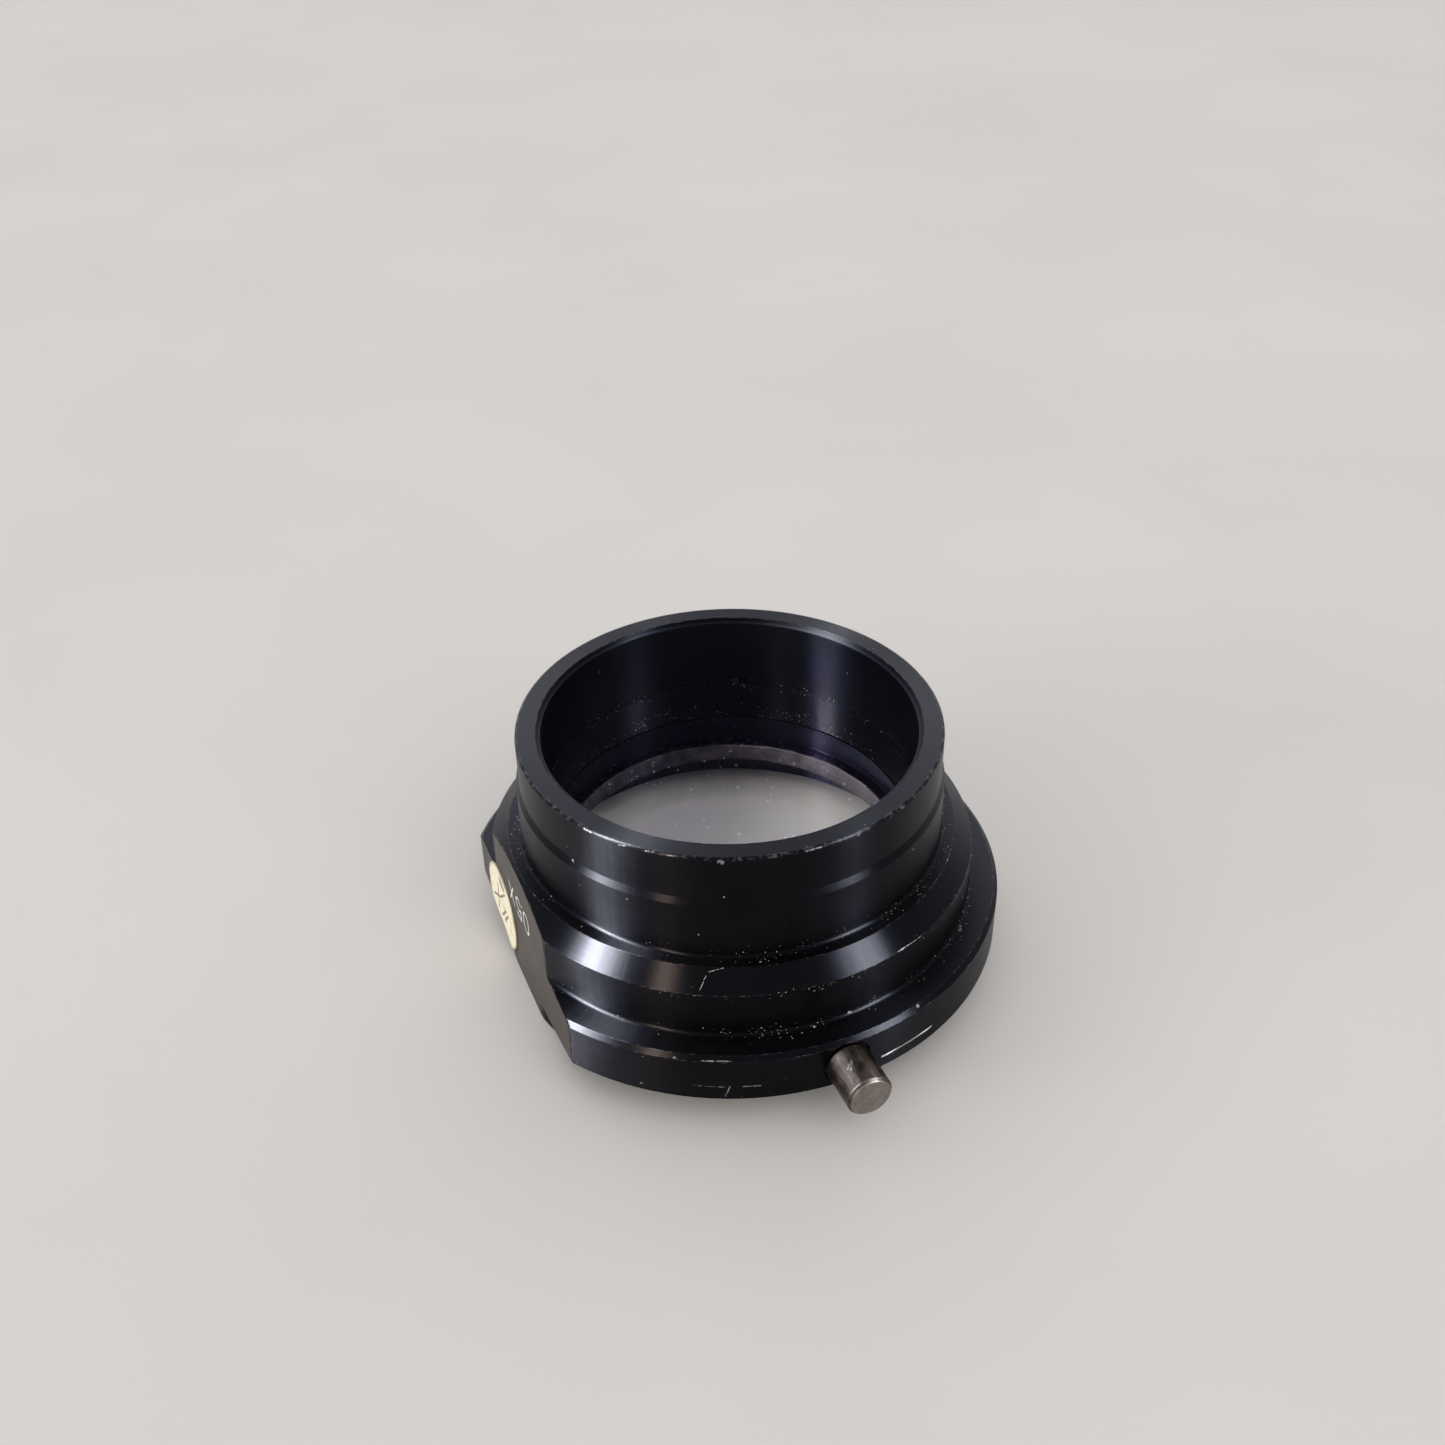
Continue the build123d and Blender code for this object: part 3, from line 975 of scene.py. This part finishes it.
# ---------------------------------------------------------------- pieces
def build_pin_hole(material):
    """The cutting tool for the pin's blind hole and its mouth."""
    section = [
        (0, -0.02),
        (PIN_RADIUS + 0.02, -0.02),
        (PIN_RADIUS + 0.02, FLANGE_RADIUS - PIN_SEAT - PIN_MOUTH_DEPTH),
        (PIN_MOUTH_RADIUS, FLANGE_RADIUS - PIN_SEAT),
        (PIN_MOUTH_RADIUS + 0.3, FLANGE_RADIUS - PIN_SEAT + 0.4),
        (0, FLANGE_RADIUS - PIN_SEAT + 0.4),
    ]
    return finish_mesh("pin_hole_tool", along_pin(turned(section, 128, closed=False)), [material])


def build_groove(material):
    """The cutting tool for the groove scored beside the pin."""
    depth_at = FLANGE_RADIUS * cos(radians(GROOVE_HALF_ANGLE))
    place_at = Matrix.Translation((depth_at + 1.0, 0, GROOVE_HEIGHT))
    matrix = Matrix.Rotation(radians(GROOVE_AZIMUTH), 4, "Z") @ place_at
    return block("groove_tool", (2.0, FLANGE_RADIUS / 2, GROOVE_WIDTH), matrix, material)


def build_doublet():
    """The two cemented elements as one closed body of glass, domed above, hollow below, with a black edge."""
    section = []
    steps = 40
    for k in range(steps + 1):
        r = FRONT_CLEAR_RADIUS * k / steps
        section.append((r, LENS_FOOT + sag(FRONT_CURVE, FRONT_CLEAR_RADIUS) - sag(FRONT_CURVE, r)))
    section += [(LENS_RADIUS - LENS_EDGE, LENS_FOOT), (LENS_RADIUS, LENS_FOOT + LENS_EDGE)]
    side = len(section) - 2
    section += [(LENS_RADIUS, SEAT_HEIGHT - LENS_EDGE), (LENS_RADIUS - LENS_EDGE, SEAT_HEIGHT)]
    for k in range(steps, -1, -1):
        r = REAR_CLEAR_RADIUS * k / steps
        section.append((r, SEAT_HEIGHT + sag(REAR_CURVE, REAR_CLEAR_RADIUS) - sag(REAR_CURVE, r)))
    bm = turned(section, 256, closed=False, slot_of=lambda i: 1 if side - 1 <= i <= side + 3 else 0)
    bmesh.ops.recalc_face_normals(bm, faces=bm.faces)
    return finish_mesh("doublet", bm, [glass(), ground_edge()], sharp=20)


def sag(curve, radius):
    """Depth of a spherical surface of the given curve radius, out at the given radius."""
    return curve - sqrt(curve ** 2 - radius ** 2)


def build_ring(material):
    """The retaining ring, with its two spanner slots."""
    section = rounded_section([
        (RING_INNER_RADIUS, RING_FOOT, 0.25),
        (THREAD_RADIUS - 0.01, RING_FOOT, 0.25),
        (THREAD_RADIUS - 0.01, RING_TOP, 0.05),
        (RING_INNER_RADIUS, RING_TOP, 0.08),
    ])
    ring = finish_mesh("slotted_ring", turned(section, 360), [material])
    size = (2.2 * THREAD_RADIUS, SPANNER_SLOT_WIDTH, 2 * SPANNER_SLOT_DEPTH)
    cut(ring, block("slot_tool", size, Matrix.Translation((0, 0, RING_FOOT)), material))
    return ring


def build_pin(material):
    """The dowel, with rounded end chamfers and a relief groove where it enters the flange."""
    length = PIN_REACH - PIN_SEAT
    section = rounded_section([
        (0, 0, 0),
        (PIN_RADIUS - PIN_EDGE, 0, 0.05),
        (PIN_RADIUS, PIN_EDGE, 0.05),
        (PIN_RADIUS, PIN_RELIEF_FOOT, 0.03),
        (PIN_RELIEF_RADIUS, PIN_RELIEF_FOOT, 0.05),
        (PIN_RELIEF_RADIUS, PIN_RELIEF_FOOT + PIN_RELIEF_WIDTH, 0.05),
        (PIN_RADIUS, PIN_RELIEF_FOOT + PIN_RELIEF_WIDTH, 0.05),
        (PIN_RADIUS, length - PIN_EDGE, 0.12),
        (PIN_RADIUS - PIN_EDGE, length, 0.12),
        (0, length, 0),
    ], closed=False)
    return finish_mesh("dowel", along_pin(turned(section, 160, closed=False)), [material])


def build_mark_fill(material):
    """The paint in the mark: closed slabs, all but flush with the flat and slightly uneven."""
    chance = Random(5)
    points, loops = [], []
    for figure in stroke_outlines(mark_strokes(), STROKE - 0.02):
        loops.append(list(range(len(points), len(points) + len(figure))))
        points += [Vector(p) for p in figure]
    made = delaunay_2d_cdt(points, [], loops, 1, 1e-4)
    top = [on_flat(p.x, p.y, 0.003 + 0.006 * chance.random()) for p in made[0]]
    floor = [on_flat(p.x, p.y, MARK_DEPTH - 0.005) for p in made[0]]
    return finish_mesh("mark_fill", slab(top, floor, made[2]), [material])


def build_label(material):
    """The paper label: a thin closed sheet with a torn side, a ragged edge and slight waves."""
    chance = Random(11)
    rim = []
    sides = 180
    for i in range(sides):
        a = 2 * pi * i / sides
        reach = LABEL_RADIUS * (1 + 0.006 * (chance.random() - 0.5))
        rim.append(Vector((LABEL_Y + reach * cos(a), LABEL_Z + reach * sin(a))))
    rim = torn(rim, chance)
    points = list(rim)
    pitch, most = 0.45, 12
    for i in range(-most, most + 1):
        for j in range(-most, most + 1):
            y = LABEL_Y + pitch * i + 0.1 * chance.random()
            z = LABEL_Z + pitch * j + 0.1 * chance.random()
            points.append(Vector((y, z)))
    made = delaunay_2d_cdt(points, [], [list(range(len(rim)))], 1, 1e-4)
    top, floor = [], []
    for p in made[0]:
        wave = 0.020 * sin(1.1 * p.x + 0.6 * p.y) + 0.015 * sin(2.3 * p.y - 0.7 * p.x)
        top.append((-FLAT - LABEL_THICKNESS - 0.02 - wave, p.x, p.y))
        floor.append((-FLAT - 0.012, p.x, p.y))
    return finish_mesh("label", slab(top, floor, made[2]), [material])


def torn(rim, chance):
    """The label's rim with the part inside the torn side taken off and the tear made ragged."""
    line = [Vector(p) for p in LABEL_TEAR[:4]]
    kept = [p for p in rim if not below_tear(p, line)]
    start = max(range(len(kept)), key=lambda i: (kept[(i + 1) % len(kept)] - kept[i]).length)
    kept = kept[start + 1:] + kept[:start + 1]
    ragged = []
    ends = (kept[-1], kept[0])
    for a, b in zip([ends[0]] + inside_tear(line, ends), inside_tear(line, ends) + [ends[1]]):
        steps = max(2, int((b - a).length / 0.22))
        for k in range(steps):
            jitter = Vector((chance.random() - 0.5, chance.random() - 0.5)) * (0.16 if k else 0.0)
            ragged.append(a + (b - a) * k / steps + jitter)
    return kept[:-1] + ragged


def below_tear(p, line):
    """True if the point lies on the torn-off side of the tear."""
    if p.x <= line[-1].x:
        return False
    for a, b in zip(line, line[1:]):
        if b.x <= p.x <= a.x:
            return p.y < a.y + (b.y - a.y) * (p.x - a.x) / (b.x - a.x)
    return False


def inside_tear(line, ends):
    """The tear's own corners between its two ends, in order from the first end to the second."""
    inner = [p for p in line if (p - Vector((LABEL_Y, LABEL_Z))).length < LABEL_RADIUS]
    if (inner[0] - ends[0]).length > (inner[-1] - ends[0]).length:
        inner.reverse()
    return inner


anodised = anodise()
flat_finish = milled()
scored = bare_metal()

cell = finish_mesh("cell", build_cell(), [anodised, flat_finish, scored])
cut(cell, build_pin_hole(anodised))
cut(cell, build_groove(scored))
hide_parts("housing")

doublet = build_doublet()
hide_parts("crown_lens", "flint_lens")

ring = build_ring(ring_finish())
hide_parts("retaining_ring")

dowel = build_pin(steel())
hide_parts("index_pin")

mark_fill = build_mark_fill(white_filler())
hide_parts("mark_paint")

label = build_label(paper())
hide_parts("paper_label")

for piece in (cell, doublet, ring, dowel, mark_fill, label):
    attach(piece, "root")


# ---------------------------------------------------------------- stage, light and camera
def build_floor():
    """A plain pale floor."""
    material, tree, shader, here = new_material("pale_floor")
    cloud = noise(tree, here, 0.012, 3.0)
    colour = tinted(tree, cloud, 0.3, 0.7, (0.735, 0.705, 0.675, 1), (0.765, 0.735, 0.705, 1))
    feed(tree, shader.inputs["Base Color"], colour)
    preset(shader, {
        "Roughness": 0.95,
        "Specular IOR Level": 0.0,
    })
    bm = bmesh.new()
    bmesh.ops.create_grid(bm, x_segments=8, y_segments=8, size=3000)
    floor = finish_mesh("floor", bm, [material])


def add_lamp(name, azimuth, elevation, distance, size, power, colour, use=""):
    """A soft rectangular lamp that faces the part, placed by azimuth and elevation in degrees about its axis.

    A glint shows only in reflections. A fill lights what is dull and shows in no reflection.
    """
    data = bpy.data.lights.new(name, "AREA")
    data.shape = "RECTANGLE"
    data.size, data.size_y = size
    data.energy = power
    data.color = colour
    lamp = bpy.data.objects.new(name, data)
    bpy.context.scene.collection.objects.link(lamp)
    a, e = radians(azimuth), radians(elevation)
    lamp.location = Vector((cos(a) * cos(e), sin(a) * cos(e), sin(e))) * distance
    lamp.rotation_euler = (-lamp.location).to_track_quat("-Z", "Y").to_euler()
    lamp.visible_camera = False
    lamp.visible_diffuse = use != "glint"
    lamp.visible_glossy = use != "fill"
    return lamp


def deepen_shadows(view):
    """Give the picture a camera's darker shadows, and leave the middle and bright tones alone."""
    view.use_curve_mapping = True
    curve = view.curve_mapping.curves[3]
    for shown, wanted in SHADOW_CURVE:
        curve.points.new(shown, wanted)
    view.curve_mapping.update()


# Brightness as rendered, and as wanted
SHADOW_CURVE = [
    (0.015, 0.004),
    (0.03, 0.0105),
    (0.055, 0.034),
    (0.09, 0.077),
    (0.15, 0.148),
    (0.3, 0.3),
    (0.6, 0.6),
]

build_floor()
add_lamp("far_side", 75, 38, 1.6, (2.4, 1.1), 4.2, (0.96, 0.97, 1.0))
add_lamp("far_wall", 72, 42, 1.6, (2.4, 2.2), 8.0, (0.93, 0.95, 1.0), use="glint")
add_lamp("left_side", -178, 14, 1.2, (0.6, 0.3), 4.0, (1.0, 0.95, 0.86), use="fill")
add_lamp("front_side", -85, 50, 1.4, (1.2, 0.9), 4.0, (1.0, 0.98, 0.96), use="fill")
add_lamp("window", -178, 34, 1.2, (0.15, 0.75), 47.0, (0.92, 0.94, 1.0), use="glint")
add_lamp("warm_side", -144, 30, 1.2, (0.14, 0.70), 4.0, (1.0, 0.80, 0.60), use="glint")
add_lamp("right_side", -50, 34, 1.2, (0.20, 0.70), 11.0, (0.90, 0.93, 1.0), use="glint")

world = bpy.data.worlds.new("soft_room")
bpy.context.scene.world = world
world.use_nodes = True
world.node_tree.nodes["Background"].inputs["Color"].default_value = (0.97, 0.98, 1.0, 1)
world.node_tree.nodes["Background"].inputs["Strength"].default_value = 0.66

camera_data = bpy.data.cameras.new("camera")
camera_data.sensor_width = 36.0
camera_data.lens = 39.40
camera_data.clip_start = 0.01
camera_data.clip_end = 20.0
camera = bpy.data.objects.new("camera", camera_data)
bpy.context.scene.collection.objects.link(camera)
CAMERA_PLACE = (-53.22, -129.42, 129.64)
CAMERA_AZIMUTH = radians(67.95)
CAMERA_PITCH = radians(-35.475)
CAMERA_ROLL = radians(-1.094)
ahead = Vector(
    (
        cos(CAMERA_AZIMUTH) * cos(CAMERA_PITCH),
        sin(CAMERA_AZIMUTH) * cos(CAMERA_PITCH),
        sin(CAMERA_PITCH),
    )
)
level = Vector((sin(CAMERA_AZIMUTH), -cos(CAMERA_AZIMUTH), 0))
upright = level.cross(ahead)
right = level * cos(CAMERA_ROLL) + upright * sin(CAMERA_ROLL)
up = right.cross(ahead)
turn = Matrix((right, up, -ahead)).transposed().to_4x4()
camera.matrix_world = Matrix.Translation(Vector(CAMERA_PLACE) * MM) @ turn
bpy.context.scene.camera = camera
bpy.context.scene.view_settings.view_transform = "Standard"
deepen_shadows(bpy.context.scene.view_settings)
